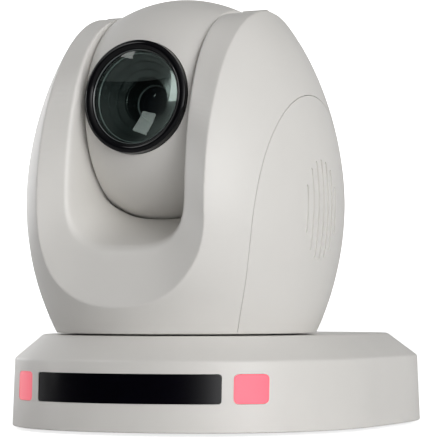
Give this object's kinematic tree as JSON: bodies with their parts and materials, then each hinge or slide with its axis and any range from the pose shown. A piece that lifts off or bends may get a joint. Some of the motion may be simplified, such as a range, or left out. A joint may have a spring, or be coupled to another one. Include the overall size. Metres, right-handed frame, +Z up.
{
  "type": "pan-tilt-zoom camera",
  "caption": "Desk or ceiling camera with a drum head that tilts between the arms of an egg-shaped yoke, which pans on a squarish base with a front window and lamps.",
  "frame": {"origin": "under the middle of the base, at the bottom of the feet; the pan axis stands 25.75 mm in front of it", "axes": "+Z up, the base's window faces -Y, +X to the right of someone who faces the window; at rest the head is turned 3.5 degrees and looks 6.2 degrees up, as pictured"},
  "size_m": [0.178, 0.2056, 0.2062],
  "materials": {
    "shell": "satin",
    "black": "gloss",
    "window": "polished",
    "tally": "satin",
    "steel": "brushed",
    "aluminium": "satin",
    "brass": "satin",
    "board": "satin",
    "rubber": "matte",
    "glass": "polished"
  },
  "bodies": {
    "base": {"base_shell": "shell", "ir_window": "window", "tally_lens_left": "tally", "tally_lens_right": "tally", "bottom_plate": "aluminium", "tripod_insert": "brass", "foot_1": "rubber", "foot_2": "rubber", "foot_3": "rubber", "foot_4": "rubber", "rear_panel": "aluminium", "lan_jack": "steel", "serial_jack": "steel", "hdmi_jack": "steel", "sdi_connector": "steel", "dc_jack": "black", "main_board": "board", "connector_board": "board", "tally_board": "board", "pan_bearing_seat": "aluminium", "pan_bearing_outer": "steel", "pan_motor": "black", "pan_belt": "rubber"},
    "yoke": {"yoke_front_shell": "shell", "yoke_rear_shell": "shell", "side_cover_left": "shell", "side_cover_right": "shell", "turntable": "aluminium", "pan_harness": "rubber", "pan_bearing_inner": "steel", "pan_wheel": "aluminium", "upright_left": "aluminium", "upright_right": "aluminium", "tilt_bearing_left": "steel", "tilt_bearing_right": "steel", "tilt_motor": "black", "tilt_motor_bracket": "aluminium", "tilt_belt": "rubber", "motor_driver_board": "board"},
    "head": {"head_front_shell": "shell", "head_rear_shell": "shell", "trunnion_left": "steel", "trunnion_right": "steel", "tilt_wheel": "aluminium", "head_frame": "aluminium", "lens_bezel": "black", "lens_barrel": "black", "front_lens": "glass", "guide_rod_left": "steel", "guide_rod_right": "steel", "camera_block": "black", "sensor_board": "board", "video_board": "board"},
    "pan_motor_shaft": {"pan_pinion": "aluminium"},
    "tilt_motor_shaft": {"tilt_pinion": "aluminium"},
    "zoom_group": {"zoom_cell": "black", "zoom_lens": "glass"},
    "focus_group": {"focus_cell": "black", "focus_lens": "glass"},
    "format_selector": {"format_dial": "black"}
  },
  "joints": [
    {"name": "pan", "type": "hinge", "parent": "base", "child": "yoke", "pos_m": [0, -0.02575, 0.0455], "axis": [0, 0, 1], "range_deg": [-170, 170]},
    {"name": "tilt", "type": "hinge", "parent": "yoke", "child": "head", "pos_m": [0, -0.02575, 0.1508], "axis": [-0.9981, 0.061, 0], "range_deg": [-36, 84]},
    {"name": "pan_motor_turn", "type": "hinge", "parent": "base", "child": "pan_motor_shaft", "pos_m": [-0.048, 0.00025, 0.026], "axis": [0, 0, 1], "range_deg": [-470, 470]},
    {"name": "tilt_motor_turn", "type": "hinge", "parent": "yoke", "child": "tilt_motor_shaft", "pos_m": [-0.04192, -0.02319, 0.096], "axis": [-0.9981, 0.061, 0], "range_deg": [-85, 190]},
    {"name": "zoom", "type": "slide", "parent": "head", "child": "zoom_group", "axis": [-0.0607, -0.9923, 0.108], "range_m": [-0.007, 0.005]},
    {"name": "focus", "type": "slide", "parent": "head", "child": "focus_group", "axis": [-0.0607, -0.9923, 0.108], "range_m": [-0.0025, 0.0015]},
    {"name": "format_dial_turn", "type": "hinge", "parent": "base", "child": "format_selector", "pos_m": [0.052, 0.08645, 0.02], "axis": [0, 1, 0], "continuous": true}
  ],
  "couplings": [
    {"joint": "pan_motor_turn", "follows": "pan", "ratio": 2.75},
    {"joint": "tilt_motor_turn", "follows": "tilt", "ratio": 2.25}
  ]
}
